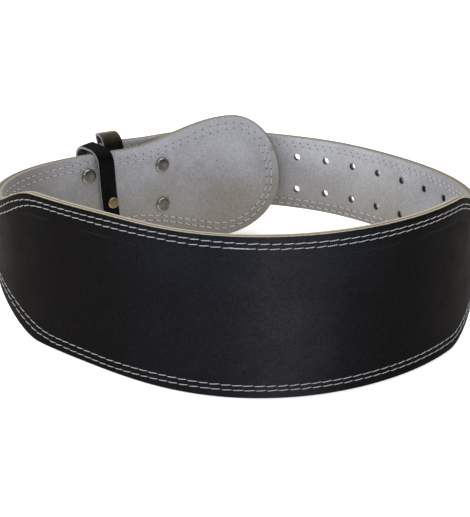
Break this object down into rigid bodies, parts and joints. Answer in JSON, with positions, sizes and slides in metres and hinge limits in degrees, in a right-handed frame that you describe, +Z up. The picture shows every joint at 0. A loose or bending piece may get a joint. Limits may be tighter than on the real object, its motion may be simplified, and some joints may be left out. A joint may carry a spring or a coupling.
{
  "type": "weightlifting belt",
  "caption": "Wide leather lifting belt buckled into a standing loop, with a two-prong buckle, a riveted keeper and a loose keeper.",
  "frame": {"origin": "middle of the belt's bounding box, on the floor that its lower edge stands on", "axes": "+Z up, +Y from the wide back towards the buckle, +X to the wearer's side that the tongue runs along"},
  "size_m": [0.3292, 0.3276, 0.1016],
  "materials": {
    "black_leather": "satin grain",
    "grey_suede": "napped suede",
    "strap_leather": "smooth, semi-matt",
    "nickel": "nickel plate, lightly worn",
    "brass": "dull brass"
  },
  "bodies": {
    "root": {"outer_shell": "black_leather", "suede_lining": "grey_suede", "buckle_strap": "strap_leather", "buckle": "nickel", "keeper_band": "strap_leather", "tongue_loop": "strap_leather", "rivet_near_upper": "nickel", "rivet_near_lower": "nickel", "rivet_far_upper": "nickel", "rivet_far_lower": "nickel", "keeper_rivet": "brass"}
  },
  "joints": []
}
